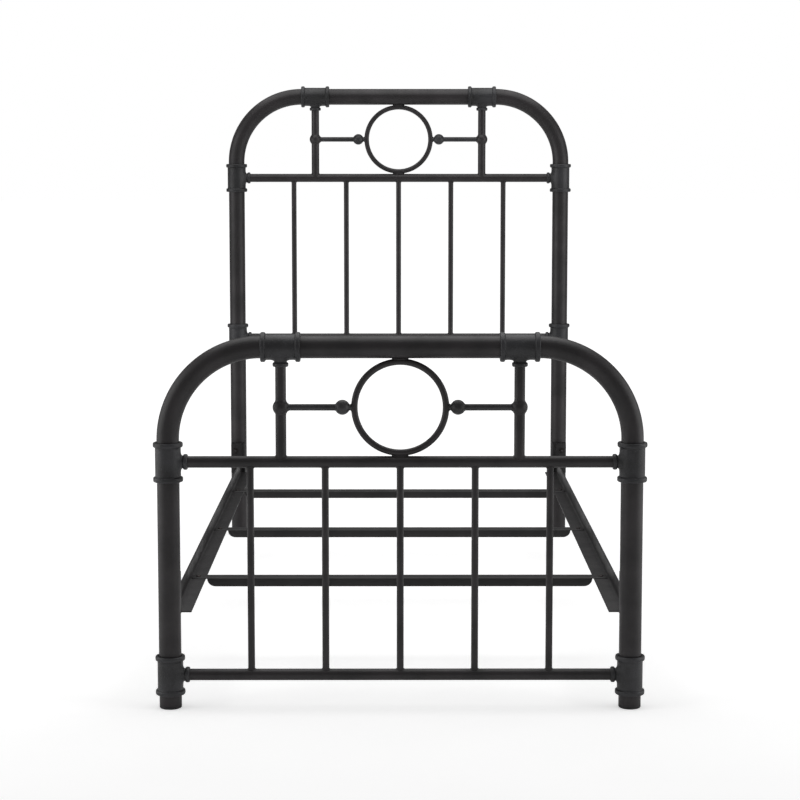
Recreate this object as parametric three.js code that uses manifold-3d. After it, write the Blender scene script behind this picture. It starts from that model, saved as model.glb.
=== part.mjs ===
// Twin-size metal bed frame in the style of black iron pipe: a headboard and a footboard of bent tube with
// pipe-like tees, joined by two angle-iron side rails that carry three steel slats.
// Millimetres, +Z up. The origin is on the floor, in the middle of the bed. +Y runs from foot to head,
// and left and right are as seen from the foot: left is -X.
import * as THREE from "three";
import { mergeVertices } from "three/addons/utils/BufferGeometryUtils.js";
import Module from "manifold-3d";

// ---- Driving dimensions ----
const POST_SPACING = 990; // across the bed, between the posts' axes
const END_SPACING = 1970; // along the bed, between the planes of the two ends
const CLEARANCE = 0.3; // between pieces that are welded or pressed together on the real bed
const SOCKET = 0.4; // radial clearance between a tube and the fitting round it

const POST = { radius: 24, wall: 1.2, sides: 16 }; // posts, bends and top rails
const CROSSBAR = { radius: 12.5, wall: 1.2, sides: 12 };
const UPRIGHT = { radius: 11.5, wall: 1.2, sides: 12 };
const BALUSTER = { radius: 7.5, wall: 1, sides: 12 };
const BEND_RADIUS = 199; // of the tube's axis, at the four upper corners

const ARCH_RISE = 246; // from the upper crossbar's axis to the top rail's axis, alike at both ends
const HEADBOARD = { topRail: 1353, balusterRun: 490 }; // heights of axes; the run is between crossbar axes
const FOOTBOARD = { topRail: 781, balusterRun: 463 };

const UPRIGHT_X = 254; // either side of the middle, under the tees of the top rail
const BALUSTER_PITCH = 160;
const BALUSTER_COUNT = 5;

const TEE = {
  bodyRadius: 27.5,
  beadRadius: 32,
  beadWidth: 11,
  halfLength: 42.5,
  neckRadius: 14,
  collarRadius: 17,
  collarWidth: 7,
  outletEnd: 42, // from the barrel's axis
  socketFloor: 28, // where the crossbar's or upright's end stops, from the barrel's axis
};

const RING_ROD_RADIUS = 7;
const COLLAR_BALL_RADIUS = 17.25; // the ball cast on each short upright
const TIE_ROD = { radius: 7, ballRadius: 16, ballX: 123, neckRadius: 6.5 };

const GLIDE = { rimHeight: 6, chamfer: 1.5, plugHeight: 26, plugRadius: 22.3, plugWall: 2.5 };

const RAIL = { outerX: 490, leg: 38, thickness: 3, bottom: 200 };
const END_PLATE = { innerX: 484, outerX: 516, top: 292, thickness: 4 };
const BRACKET = { halfWidth: 22, thickness: 3, face: 34, back: 9 }; // distances from the post's axis
const STUD = { radius: 4, holeRadius: 4.5, x: 503, heights: [222, 270], length: 20 };

const SLAT = { width: 40, depth: 20, thickness: 2, halfLength: 484, legHalfLength: 448, pitch: 600 };
const SCREW_HOLE = { radius: 3.3, x: 470 };

// ---- Derived places ----
const POST_X = POST_SPACING / 2;
const END_Y = END_SPACING / 2;
const RAIL_SEAT = RAIL.bottom + RAIL.thickness; // top of the rails' inward flange
const BEND_STEPS = 8;
const BEND_TAIL = (Math.PI / 2) * (BEND_RADIUS / BEND_STEPS); // straight end of a bend, inside its tee
// The ring just fits between the upper crossbar and the top rail. Its centre is above the crossbar's axis.
const RING_HEIGHT = (CROSSBAR.radius + ARCH_RISE - POST.radius) / 2;
const RING_OUTER = (ARCH_RISE - POST.radius - CROSSBAR.radius) / 2 - CLEARANCE;
const SLAT_PLACES = [-SLAT.pitch, 0, SLAT.pitch];
const SIDES = { left: -1, right: 1 };

const blackTube = new THREE.MeshStandardMaterial({ color: 0x353334, roughness: 0.55, metalness: 0.3 });
const blackCasting = new THREE.MeshStandardMaterial({ color: 0x393a3d, roughness: 0.7, metalness: 0.3 });
const blackSteel = new THREE.MeshStandardMaterial({ color: 0x2b2a2b, roughness: 0.6, metalness: 0.3 });
const blackPlastic = new THREE.MeshStandardMaterial({ color: 0x2a2a2c, roughness: 0.8, metalness: 0 });

// ---- Booleans ----
const wasm = await Module();
wasm.setup();

function solid(geometry) {
  const bare = geometry.index ? geometry.toNonIndexed() : geometry.clone();
  bare.deleteAttribute("normal");
  bare.deleteAttribute("uv");
  const merged = mergeVertices(bare, 1e-3);
  return new wasm.Manifold(
    new wasm.Mesh({
      numProp: 3,
      vertProperties: merged.attributes.position.array,
      triVerts: new Uint32Array(merged.index.array),
    }),
  );
}

function geometryOf(manifold) {
  const mesh = manifold.getMesh();
  const geometry = new THREE.BufferGeometry();
  geometry.setAttribute("position", new THREE.BufferAttribute(mesh.vertProperties, 3));
  geometry.setIndex(new THREE.BufferAttribute(mesh.triVerts, 1));
  return geometry;
}

// ---- Plain shapes ----
function ringShape(outer, inner) {
  const shape = new THREE.Shape().absarc(0, 0, outer, 0, 2 * Math.PI);
  shape.holes.push(new THREE.Path().absarc(0, 0, inner, 0, 2 * Math.PI, true));
  return shape;
}

// A straight tube along +Z from the origin.
function tube(stock, length) {
  return new THREE.ExtrudeGeometry(ringShape(stock.radius, stock.radius - stock.wall), {
    depth: length,
    bevelEnabled: false,
    curveSegments: stock.sides / 2,
  });
}

// A solid rod on the Z axis, from one height to another.
function rod(radius, from, to, sides) {
  return new THREE.CylinderGeometry(radius, radius, Math.abs(to - from), sides)
    .rotateX(Math.PI / 2)
    .translate(0, 0, (from + to) / 2);
}

// The same rod on the Y axis.
function rodAlongY(radius, from, to, sides) {
  return rod(radius, from, to, sides).rotateX(-Math.PI / 2);
}

// A block between two values on each axis, in either order.
function box(x, y, z) {
  const ranges = [x, y, z];
  const size = ranges.map(([a, b]) => Math.abs(b - a));
  const centre = ranges.map(([a, b]) => (a + b) / 2);
  return new THREE.BoxGeometry(...size).translate(...centre);
}

// A profile of [radius, height] points turned about the Z axis.
function turned(profile, sides) {
  const points = profile.map(([radius, height]) => new THREE.Vector2(radius, height));
  return new THREE.LatheGeometry(points, sides).rotateX(Math.PI / 2);
}

// Points of a ball's outline, from where it leaves the rod below it to where it meets the rod above it.
function ballOutline(ballRadius, centre, rodBelow, rodAbove) {
  const steps = 6;
  const from = -Math.acos(rodBelow / ballRadius);
  const to = Math.acos(rodAbove / ballRadius);
  return Array.from({ length: steps + 1 }, (_, i) => {
    const angle = from + ((to - from) * i) / steps;
    return [ballRadius * Math.cos(angle), centre + ballRadius * Math.sin(angle)];
  });
}

function piece(name, geometry, material, position = [0, 0, 0], rotation = [0, 0, 0]) {
  const mesh = new THREE.Mesh(geometry, material);
  mesh.name = name;
  mesh.position.set(...position);
  mesh.rotation.set(...rotation);
  return mesh;
}

// ---- Tube work ----
// A quarter turn in the XZ plane: from the top of a left post, going up, to the start of the top rail.
class QuarterTurn extends THREE.Curve {
  getPoint(t) {
    const angle = (t * Math.PI) / 2;
    return new THREE.Vector3(BEND_RADIUS * (1 - Math.cos(angle)), 0, BEND_RADIUS * Math.sin(angle));
  }
}

function cornerBend() {
  const path = new THREE.CurvePath();
  path.add(new THREE.LineCurve3(new THREE.Vector3(0, 0, -BEND_TAIL), new THREE.Vector3(0, 0, 0)));
  path.add(new QuarterTurn());
  path.add(
    new THREE.LineCurve3(
      new THREE.Vector3(BEND_RADIUS, 0, BEND_RADIUS),
      new THREE.Vector3(BEND_RADIUS + BEND_TAIL, 0, BEND_RADIUS),
    ),
  );
  return new THREE.ExtrudeGeometry(ringShape(POST.radius, POST.radius - POST.wall), {
    extrudePath: path,
    steps: BEND_STEPS + 2,
    curveSegments: POST.sides / 2,
  });
}

// A crossbar along X, centred, with a row of punched holes that the balusters plug into. holeSide is +1
// where the holes are in its top and -1 where they are in its underside.
function crossbar(holeSide) {
  const halfLength = POST_X - TEE.socketFloor;
  let bar = solid(tube(CROSSBAR, 2 * halfLength).translate(0, 0, -halfLength).rotateY(Math.PI / 2));
  for (let i = 0; i < BALUSTER_COUNT; i++) {
    const hole = rod(BALUSTER.radius + CLEARANCE, 0, holeSide * (CROSSBAR.radius + 1), BALUSTER.sides);
    bar = bar.subtract(solid(hole.translate(balusterX(i), 0, 0)));
  }
  return geometryOf(bar);
}

function balusterX(i) {
  return (i - (BALUSTER_COUNT - 1) / 2) * BALUSTER_PITCH;
}

// A short upright: a tube with a cast ball at the height of the ring's centre. Its origin is on the
// crossbar's axis, and its lower end is coped to sit on the crossbar.
function shortUpright() {
  const bore = UPRIGHT.radius - UPRIGHT.wall;
  const bottom = CROSSBAR.radius / 4;
  const top = ARCH_RISE - TEE.socketFloor;
  const outline = [
    [bore, bottom],
    [UPRIGHT.radius, bottom],
    ...ballOutline(COLLAR_BALL_RADIUS, RING_HEIGHT, UPRIGHT.radius, UPRIGHT.radius),
    [UPRIGHT.radius, top],
    [bore, top],
    [bore, bottom],
  ];
  const halfCut = 2 * UPRIGHT.radius;
  const cope = rod(CROSSBAR.radius + CLEARANCE, -halfCut, halfCut, CROSSBAR.sides).rotateY(Math.PI / 2);
  return geometryOf(solid(turned(outline, UPRIGHT.sides)).subtract(solid(cope)));
}

function ring() {
  return new THREE.TorusGeometry(RING_OUTER - RING_ROD_RADIUS, RING_ROD_RADIUS, 8, 32).rotateX(Math.PI / 2);
}

// The left tie rod, from a short upright's ball to the ring. It lies along X, measured from the middle.
function tieRod() {
  const start = -UPRIGHT_X + COLLAR_BALL_RADIUS + CLEARANCE;
  const end = -RING_OUTER - CLEARANCE;
  const outline = [
    [0, start],
    [TIE_ROD.radius, start],
    ...ballOutline(TIE_ROD.ballRadius, -TIE_ROD.ballX, TIE_ROD.radius, TIE_ROD.neckRadius),
    [TIE_ROD.neckRadius, end],
    [0, end],
  ];
  return turned(outline, 12).rotateY(Math.PI / 2);
}

// ---- Fittings ----
// A tee: a barrel along Z with a bead at each end, and a necked outlet with a collar towards +X.
function tee() {
  const bore = POST.radius + SOCKET;
  const bead = (centre) => [
    [TEE.bodyRadius, centre - TEE.beadWidth / 2],
    [TEE.beadRadius, centre - TEE.beadWidth / 4],
    [TEE.beadRadius, centre + TEE.beadWidth / 4],
    [TEE.bodyRadius, centre + TEE.beadWidth / 2],
  ];
  const beadCentre = TEE.halfLength - TEE.beadWidth / 2;
  const end = [bore, -TEE.halfLength];
  const barrel = [end, ...bead(-beadCentre), ...bead(beadCentre), [bore, TEE.halfLength], end];
  const root = bore + 1; // the outlet's solid starts inside the barrel's wall
  const collarStart = TEE.outletEnd - TEE.collarWidth;
  const outlet = [
    [0, root],
    [TEE.neckRadius, root],
    [TEE.neckRadius, collarStart],
    [TEE.collarRadius, collarStart + 1.5],
    [TEE.collarRadius, TEE.outletEnd - 1.5],
    [TEE.neckRadius + 1, TEE.outletEnd],
    [0, TEE.outletEnd],
  ];
  const socket = rod(CROSSBAR.radius + SOCKET, TEE.socketFloor - SOCKET, TEE.outletEnd + 1, CROSSBAR.sides);
  const sideways = (geometry) => solid(geometry.rotateY(Math.PI / 2));
  return geometryOf(
    solid(turned(barrel, POST.sides))
      .add(sideways(turned(outlet, CROSSBAR.sides)))
      .subtract(sideways(socket)),
  );
}

// A moulded glide: a rim that the post stands on and a hollow plug that is pressed into the post.
function glide() {
  const plugBore = GLIDE.plugRadius - GLIDE.plugWall;
  return turned(
    [
      [0, 0],
      [POST.radius - GLIDE.chamfer, 0],
      [POST.radius, GLIDE.chamfer],
      [POST.radius, GLIDE.rimHeight],
      [GLIDE.plugRadius, GLIDE.rimHeight],
      [GLIDE.plugRadius, GLIDE.plugHeight],
      [plugBore, GLIDE.plugHeight],
      [plugBore, GLIDE.rimHeight],
      [0, GLIDE.rimHeight],
    ],
    POST.sides,
  );
}

// ---- Rails and slats ----
// A folded bracket welded round the back of a post, on the post's own axis. Its two threaded studs point
// along Y, towards the middle of the bed: +Y where facing is +1.
function railBracket(side, facing) {
  const heights = [RAIL.bottom, END_PLATE.top];
  const web = [facing * (BRACKET.face - BRACKET.thickness), facing * BRACKET.face];
  const reach = [facing * BRACKET.back, facing * BRACKET.face];
  let bracket = solid(box([-BRACKET.halfWidth, BRACKET.halfWidth], web, heights));
  for (const edge of [-BRACKET.halfWidth, BRACKET.halfWidth - BRACKET.thickness]) {
    bracket = bracket.add(solid(box([edge, edge + BRACKET.thickness], reach, heights)));
  }
  const post = rod(POST.radius + CLEARANCE, RAIL.bottom - 1, END_PLATE.top + 1, POST.sides);
  bracket = bracket.subtract(solid(post));
  for (const height of STUD.heights) {
    const tip = facing * (BRACKET.face + STUD.length);
    const stud = rodAlongY(STUD.radius, facing * (BRACKET.face - 1), tip, 8);
    bracket = bracket.add(solid(stud.translate(side * (STUD.x - POST_X), 0, height)));
  }
  return geometryOf(bracket);
}

// An angle-iron rail with a drilled plate welded across each end.
function sideRail(side) {
  const across = (a, b) => [side * a, side * b];
  const plateFace = END_Y - BRACKET.face - CLEARANCE;
  const run = [1 - plateFace, plateFace - 1];
  const { outerX, leg, thickness, bottom } = RAIL;
  let rail = solid(box(across(outerX - thickness, outerX), run, [bottom, bottom + leg]));
  rail = rail.add(solid(box(across(outerX - leg, outerX), run, [bottom, RAIL_SEAT])));
  for (const end of [-1, 1]) {
    const plate = [end * plateFace, end * (plateFace - END_PLATE.thickness)];
    rail = rail.add(solid(box(across(END_PLATE.innerX, END_PLATE.outerX), plate, [bottom, END_PLATE.top])));
    for (const height of STUD.heights) {
      const hole = rodAlongY(STUD.holeRadius, plate[0] + end, plate[1] - end, 8);
      rail = rail.subtract(solid(hole.translate(side * STUD.x, 0, height)));
    }
  }
  for (const y of SLAT_PLACES) {
    const hole = rod(SCREW_HOLE.radius, bottom - 1, RAIL_SEAT + 1, 8);
    rail = rail.subtract(solid(hole.translate(side * SCREW_HOLE.x, y, 0)));
  }
  return geometryOf(rail);
}

// A slat: a channel across the bed, open underneath, whose web laps onto the rails' flanges.
function slat() {
  const seat = RAIL_SEAT + CLEARANCE;
  const top = seat + SLAT.thickness;
  const half = SLAT.width / 2;
  let channel = solid(box([-SLAT.halfLength, SLAT.halfLength], [-half, half], [seat, top]));
  const legRun = [-SLAT.legHalfLength, SLAT.legHalfLength];
  for (const edge of [-half, half - SLAT.thickness]) {
    channel = channel.add(solid(box(legRun, [edge, edge + SLAT.thickness], [top - SLAT.depth, top])));
  }
  for (const side of Object.values(SIDES)) {
    const hole = rod(SCREW_HOLE.radius, seat - 1, top + 1, 8).translate(side * SCREW_HOLE.x, 0, 0);
    channel = channel.subtract(solid(hole));
  }
  return geometryOf(channel);
}

// ---- Assembly ----
const teeGeometry = tee();
const bendGeometry = cornerBend();
const uprightGeometry = shortUpright();
const ringGeometry = ring();
const tieRodGeometry = tieRod();
const glideGeometry = glide();
const slatGeometry = slat();
const upperCrossbarGeometry = crossbar(-1);
const lowerCrossbarGeometry = crossbar(1);

// One end of the bed. facing is +1 where the rails leave towards +Y, as at the footboard.
function endPanel(name, { topRail, balusterRun }, facing) {
  const panel = new THREE.Group();
  const upper = topRail - ARCH_RISE;
  const lower = upper - balusterRun;
  const bendFoot = topRail - BEND_RADIUS; // where the post's straight run ends
  const add = (part, ...rest) => panel.add(piece(`${name}_${part}`, ...rest));

  for (const [side, sign] of Object.entries(SIDES)) {
    const x = sign * POST_X;
    const turn = sign > 0 ? Math.PI : 0; // parts drawn for the left side are turned round for the right
    const postFoot = GLIDE.rimHeight + CLEARANCE;
    const postLength = bendFoot - BEND_TAIL - CLEARANCE - postFoot;
    add(`glide_${side}`, glideGeometry, blackPlastic, [x, 0, 0]);
    add(`post_${side}`, tube(POST, postLength), blackTube, [x, 0, postFoot]);
    add(`bend_${side}`, bendGeometry, blackTube, [x, 0, bendFoot], [0, 0, turn]);
    add(`lower_tee_${side}`, teeGeometry, blackCasting, [x, 0, lower], [0, 0, turn]);
    add(`upper_tee_${side}`, teeGeometry, blackCasting, [x, 0, upper], [0, 0, turn]);
    add(`top_tee_${side}`, teeGeometry, blackCasting, [sign * UPRIGHT_X, 0, topRail], [0, Math.PI / 2, 0]);
    add(`upright_${side}`, uprightGeometry, blackTube, [sign * UPRIGHT_X, 0, upper]);
    add(`tie_rod_${side}`, tieRodGeometry, blackCasting, [0, 0, upper + RING_HEIGHT], [0, 0, turn]);
    add(`rail_bracket_${side}`, railBracket(sign, facing), blackSteel, [x, 0, 0]);
  }

  const railHalf = POST_X - BEND_RADIUS - BEND_TAIL - CLEARANCE;
  add("top_rail", tube(POST, 2 * railHalf), blackTube, [-railHalf, 0, topRail], [0, Math.PI / 2, 0]);
  add("ring", ringGeometry, blackCasting, [0, 0, upper + RING_HEIGHT]);
  add("upper_crossbar", upperCrossbarGeometry, blackTube, [0, 0, upper]);
  add("lower_crossbar", lowerCrossbarGeometry, blackTube, [0, 0, lower]);
  const plugDepth = CROSSBAR.radius / 3; // how far short of a crossbar's axis a baluster's end stops
  for (let i = 0; i < BALUSTER_COUNT; i++) {
    const baluster = tube(BALUSTER, balusterRun - 2 * plugDepth);
    add(`baluster_${i + 1}`, baluster, blackTube, [balusterX(i), 0, lower + plugDepth]);
  }

  panel.position.y = -facing * END_Y;
  return panel;
}

const bed = new THREE.Group();
bed.add(endPanel("foot", FOOTBOARD, 1));
bed.add(endPanel("head", HEADBOARD, -1));
for (const [side, sign] of Object.entries(SIDES)) {
  bed.add(piece(`side_rail_${side}`, sideRail(sign), blackSteel));
}
SLAT_PLACES.forEach((y, i) => bed.add(piece(`slat_${i + 1}`, slatGeometry, blackSteel, [0, y, 0])));

export default bed;
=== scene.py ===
"""The visible twin bed frame: black pipe-style ends, side rails, slats and their fasteners.

Metres, +Z up. +Y runs from the footboard to the headboard, and left is -X, as seen from the foot.
Sizes that the frame's boxes don't give are in millimetres below.
"""
from math import cos, hypot, pi, radians, sin, sqrt, tan

import bmesh
import bpy
from mathutils import Matrix, Vector


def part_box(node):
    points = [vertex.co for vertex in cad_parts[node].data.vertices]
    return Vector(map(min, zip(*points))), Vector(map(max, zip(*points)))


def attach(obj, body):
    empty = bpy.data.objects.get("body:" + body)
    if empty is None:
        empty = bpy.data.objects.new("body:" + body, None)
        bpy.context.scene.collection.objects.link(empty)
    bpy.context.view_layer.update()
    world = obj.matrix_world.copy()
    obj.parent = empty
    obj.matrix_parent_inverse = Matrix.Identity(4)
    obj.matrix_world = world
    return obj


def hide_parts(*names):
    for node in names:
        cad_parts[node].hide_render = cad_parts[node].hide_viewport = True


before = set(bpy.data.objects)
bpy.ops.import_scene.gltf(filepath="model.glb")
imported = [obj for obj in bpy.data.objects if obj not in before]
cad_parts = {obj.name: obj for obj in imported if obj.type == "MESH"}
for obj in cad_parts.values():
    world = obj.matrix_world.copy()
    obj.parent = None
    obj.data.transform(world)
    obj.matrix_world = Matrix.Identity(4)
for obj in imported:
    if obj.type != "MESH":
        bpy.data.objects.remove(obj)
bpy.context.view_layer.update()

MM = 0.001
SIDES = {"left": -1, "right": 1}
ENDS = {"foot": 1, "head": -1}  # which way along Y the rails leave each end
SPINDLES = 5
BEND_STEPS = 48  # round a corner bend
RING_STEPS = 128  # round a ring
SHARP_EDGE = radians(38)  # edges that turn more than this are drawn sharp
BROKEN_EDGE = radians(50)  # edges of sections that turn more than this are broken

UPRIGHT_RADIUS = 11.5 * MM
TIE_BALL_X = 123 * MM  # the tie rod's ball, either side of the middle
TIE_ROD_RADIUS = 7 * MM
TIE_NECK_RADIUS = 6.5 * MM
BALL_FILLET = 1.6 * MM

TEE_BODY_RADIUS = 27.5 * MM
TEE_BEAD_WIDTH = 11 * MM
TEE_BORE_RADIUS = 24.15 * MM
TEE_NECK_RADIUS = 13.6 * MM  # of the outlet, between the barrel and its collar
TEE_COLLAR_RADIUS = 17 * MM
TEE_SOCKET_RADIUS = 12.7 * MM  # inside the outlet
TEE_MOUTH = 42 * MM  # from the barrel's axis to the outlet's mouth

GLIDE_RIM = 6 * MM  # the height of the rim under the post
GLIDE_PLUG_RADIUS = 22.3 * MM
GLIDE_PLUG_TOP = 12 * MM  # the plug is drawn to here, inside the post

WELD_LARGE = 2.3 * MM  # bead radii
WELD_SMALL = 1.5 * MM
WELD_RIPPLE = 2.2 * MM  # from one ripple to the next
WELD_DEPTH = 0.09  # of a ripple, as a part of the bead's radius
RING_WELD = (15.5 * MM, 4.6 * MM)  # half the length and width of the oval where a ring meets a bar

RAIL_LEG = 38 * MM
RAIL_THICKNESS = 3 * MM
RAIL_OUTER_X = 490 * MM
END_PLATE_INNER_X = 484 * MM
END_PLATE_THICKNESS = 4 * MM
BRACKET_THICKNESS = 3 * MM
BRACKET_FACE = 34 * MM  # the bracket's flat face, from the post's axis
BRACKET_BACK = 9 * MM  # the back of its solid, from the same axis
BRACKET_TIP = 9.5 * MM  # where its folds end and are welded to the post
STUD = {"x": 503 * MM, "heights": (222 * MM, 270 * MM), "radius": 3.9 * MM, "pitch": 1.25 * MM}
THREAD_DEPTH = 0.62 * MM

SLAT_THICKNESS = 2 * MM
SLAT_LEG_HALF = 448 * MM  # where a slat's folded edges have run out
SLAT_SCREW_X = 470 * MM

WALL_LIGHT = 0.2  # brightness of the walls as the bed sees them, where white is 1
CEILING_LIGHT = 1.4  # of the panel over the bed
SIDE_LIGHT = 1.25  # of the panels beside it

ALONG_X = Matrix.Rotation(radians(90), 4, "Y")  # turns a piece's own Z to +X, and its X to -Z
ALONG_Y = Matrix.Rotation(radians(-90), 4, "X")  # turns a piece's own Z to +Y


# ---- Nodes ----
def add(tree, kind, inputs=None, **settings):
    """Adds a node. inputs gives its sockets, by name or number, a value or a socket to link from."""
    node = tree.nodes.new(kind)
    for name, value in settings.items():
        setattr(node, name, value)
    for key, value in (inputs or {}).items():
        if isinstance(value, bpy.types.NodeSocket):
            tree.links.new(value, node.inputs[key])
        else:
            node.inputs[key].default_value = value
    return node


def linear(code):
    """A colour of linear light from an sRGB hex value."""
    channels = [int(code[i : i + 2], 16) / 255 for i in (1, 3, 5)]
    return [c / 12.92 if c <= 0.04045 else ((c + 0.055) / 1.055) ** 2.4 for c in channels] + [1]


# ---- Finishes ----
def new_material(name):
    material = bpy.data.materials.new(name)
    material.use_nodes = True
    tree = material.node_tree
    tree.nodes.clear()
    place = add(tree, "ShaderNodeTexCoord").outputs["Object"]
    return material, tree, place


def textured_powder_coat(name, light, dark, roughness, grain, rise, wear_and_shade=0):
    """Polyester powder baked on steel or iron: a dense sandy skin, a little lighter where it is thin.

    The light breaks up into a soft, wide highlight with a fine sparkle. The powder's own grit is about
    0.3 mm: grain is drawn coarser, in mm, so that it shows. rise is how far the fattest grains stand,
    in mm. The last argument, a strength for the edges, paints crests lighter, partly as wear where the
    coat pulls thin and is rubbed and partly as a painted highlight, and paints creases darker as painted
    shade.
    """
    material, tree, place = new_material(name)
    cloud = add(tree, "ShaderNodeTexNoise", {"Vector": place, "Scale": 1 / (70 * MM), "Detail": 3})
    flow = add(tree, "ShaderNodeTexNoise", {"Vector": place, "Scale": 1 / (9 * MM), "Detail": 1})
    sand = {"Vector": place, "Scale": 1 / (grain * MM), "Detail": 2, "Roughness": 0.65}
    grit = add(tree, "ShaderNodeTexNoise", sand)
    nib = add(tree, "ShaderNodeTexVoronoi", {"Vector": place, "Scale": 1 / (2.2 * grain * MM)})
    nib_edge = {"Value": nib.outputs["Distance"], "From Min": 0.32, "From Max": 0.12}
    standing = add(tree, "ShaderNodeMapRange", nib_edge, interpolation_type="SMOOTHSTEP")
    patches = {"Value": cloud.outputs["Fac"], "From Min": 0.35, "From Max": 0.65}
    tone = add(tree, "ShaderNodeMapRange", patches)
    sum_up = {0: grit.outputs["Fac"], 1: 1.1, 2: tone.outputs["Result"]}
    speck = add(tree, "ShaderNodeMath", sum_up, operation="MULTIPLY_ADD").outputs[0]
    with_nibs = {0: standing.outputs["Result"], 1: 0.35, 2: speck}
    speck = add(tree, "ShaderNodeMath", with_nibs, operation="MULTIPLY_ADD").outputs[0]
    # Pointiness paints crests lighter, partly as rubbed wear and partly as painted highlight, and creases
    # darker as painted shade.
    if wear_and_shade:
        bend = add(tree, "ShaderNodeNewGeometry").outputs["Pointiness"]
        edge = {"Value": bend, "From Min": 0.43, "From Max": 0.57, "To Min": -wear_and_shade, "To Max": wear_and_shade}
        worn_and_shaded = add(tree, "ShaderNodeMapRange", edge)
        with_wear_and_shade = {0: worn_and_shaded.outputs["Result"], 1: speck}
        speck = add(tree, "ShaderNodeMath", with_wear_and_shade, operation="ADD").outputs[0]
    spread = {"Value": speck, "From Min": 0.35, "From Max": 1.8}
    shade = add(tree, "ShaderNodeMapRange", spread)
    tints = {"Factor": shade.outputs["Result"], "A": linear(dark), "B": linear(light)}
    colour = add(tree, "ShaderNodeMix", tints, data_type="RGBA")
    rubbed = {**spread, "To Min": roughness + 0.07, "To Max": roughness - 0.07}
    gloss = add(tree, "ShaderNodeMapRange", rubbed)
    waves = add(tree, "ShaderNodeBump", {"Height": flow.outputs["Fac"], "Distance": 0.12 * MM})
    sandy = {"Height": grit.outputs["Fac"], "Distance": 1.4 * rise * MM, "Normal": waves.outputs[0]}
    grains = add(tree, "ShaderNodeBump", sandy)
    nibs = {"Height": standing.outputs["Result"], "Distance": rise * MM, "Normal": grains.outputs[0]}
    proud = add(tree, "ShaderNodeBump", nibs)
    coat = {"Base Color": colour.outputs[2], "Roughness": gloss.outputs["Result"], "IOR": 1.5}
    shader = add(tree, "ShaderNodeBsdfPrincipled", {**coat, "Normal": proud.outputs[0]})
    add(tree, "ShaderNodeOutputMaterial", {"Surface": shader.outputs["BSDF"]})
    return material


def black_oxide_steel():
    """Blackened steel fasteners: a thin dark oxide over turned metal, a little brown where it is thin."""
    material, tree, place = new_material("black_oxide_steel")
    patina = add(tree, "ShaderNodeTexNoise", {"Vector": place, "Scale": 1 / (4 * MM), "Detail": 4})
    marks = add(tree, "ShaderNodeTexNoise", {"Vector": place, "Scale": 1 / (0.9 * MM), "Detail": 2})
    tints = {"Factor": patina.outputs["Fac"], "A": linear("#302e2f"), "B": linear("#4a4543")}
    colour = add(tree, "ShaderNodeMix", tints, data_type="RGBA")
    rubbed = {"Value": patina.outputs["Fac"], "To Min": 0.28, "To Max": 0.5}
    gloss = add(tree, "ShaderNodeMapRange", rubbed)
    turning = {"Height": marks.outputs["Fac"], "Strength": 1, "Distance": 0.04 * MM}
    bump = add(tree, "ShaderNodeBump", turning)
    oxide = {"Base Color": colour.outputs[2], "Metallic": 1, "Roughness": gloss.outputs["Result"]}
    shader = add(tree, "ShaderNodeBsdfPrincipled", {**oxide, "Normal": bump.outputs["Normal"]})
    add(tree, "ShaderNodeOutputMaterial", {"Surface": shader.outputs["BSDF"]})
    return material


def moulded_polyethylene():
    """Moulded black polyethylene glides: waxy and softly grained, scuffed grey near the floor."""
    material, tree, place = new_material("moulded_polyethylene")
    grain = add(tree, "ShaderNodeTexNoise", {"Vector": place, "Scale": 1 / (1.2 * MM), "Detail": 3})
    drag = {"Vector": place, "Scale": 1 / (5 * MM), "Detail": 4, "Distortion": 1.5}
    scuffs = add(tree, "ShaderNodeTexNoise", drag)
    height = add(tree, "ShaderNodeSeparateXYZ", {"Vector": place}).outputs["Z"]
    fade = {"Value": height, "From Min": 3.5 * MM, "From Max": 0, "To Min": 0, "To Max": 0.8}
    near_floor = add(tree, "ShaderNodeMapRange", fade)
    both = {0: scuffs.outputs["Fac"], 1: near_floor.outputs["Result"]}
    scuffed = add(tree, "ShaderNodeMath", both, operation="MULTIPLY")
    tints = {"Factor": scuffed.outputs["Value"], "A": linear("#2a2a2c"), "B": linear("#5c5b5a")}
    colour = add(tree, "ShaderNodeMix", tints, data_type="RGBA")
    waxy = {"Value": grain.outputs["Fac"], "To Min": 0.45, "To Max": 0.62}
    gloss = add(tree, "ShaderNodeMapRange", waxy)
    skin_grain = {"Height": grain.outputs["Fac"], "Strength": 1, "Distance": 0.07 * MM}
    bump = add(tree, "ShaderNodeBump", skin_grain)
    plastic = {"Base Color": colour.outputs[2], "Roughness": gloss.outputs["Result"], "IOR": 1.51}
    shader = add(tree, "ShaderNodeBsdfPrincipled", {**plastic, "Normal": bump.outputs["Normal"]})
    add(tree, "ShaderNodeOutputMaterial", {"Surface": shader.outputs["BSDF"]})
    return material


# Drawn tube is smooth under its coat, so its highlights are long and even, and a little warm.
TUBE_COAT = textured_powder_coat("powder_coated_tube", "#332f31", "#1c1a1b", 0.42, 1.0, 0.07)
# Sand-cast iron is rough under its coat, so it speckles. Its bead crests are painted lighter, partly as
# rubbed wear and partly as painted highlight, and its creases are painted darker as painted shade.
CASTING_COAT = textured_powder_coat(
    "powder_coated_casting", "#3b3b3e", "#121212", 0.4, 2.2, 0.3, wear_and_shade=0.9
)
# Rolled and folded sections are flat and slightly duller.
SECTION_COAT = textured_powder_coat("powder_coated_section", "#2a2829", "#191819", 0.45, 1.1, 0.08)
FASTENER = black_oxide_steel()
GLIDE_PLASTIC = moulded_polyethylene()


# ---- Meshes ----
def middle(node):
    low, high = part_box(node)
    return (low + high) / 2


def extent(node):
    low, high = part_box(node)
    return high - low


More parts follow.
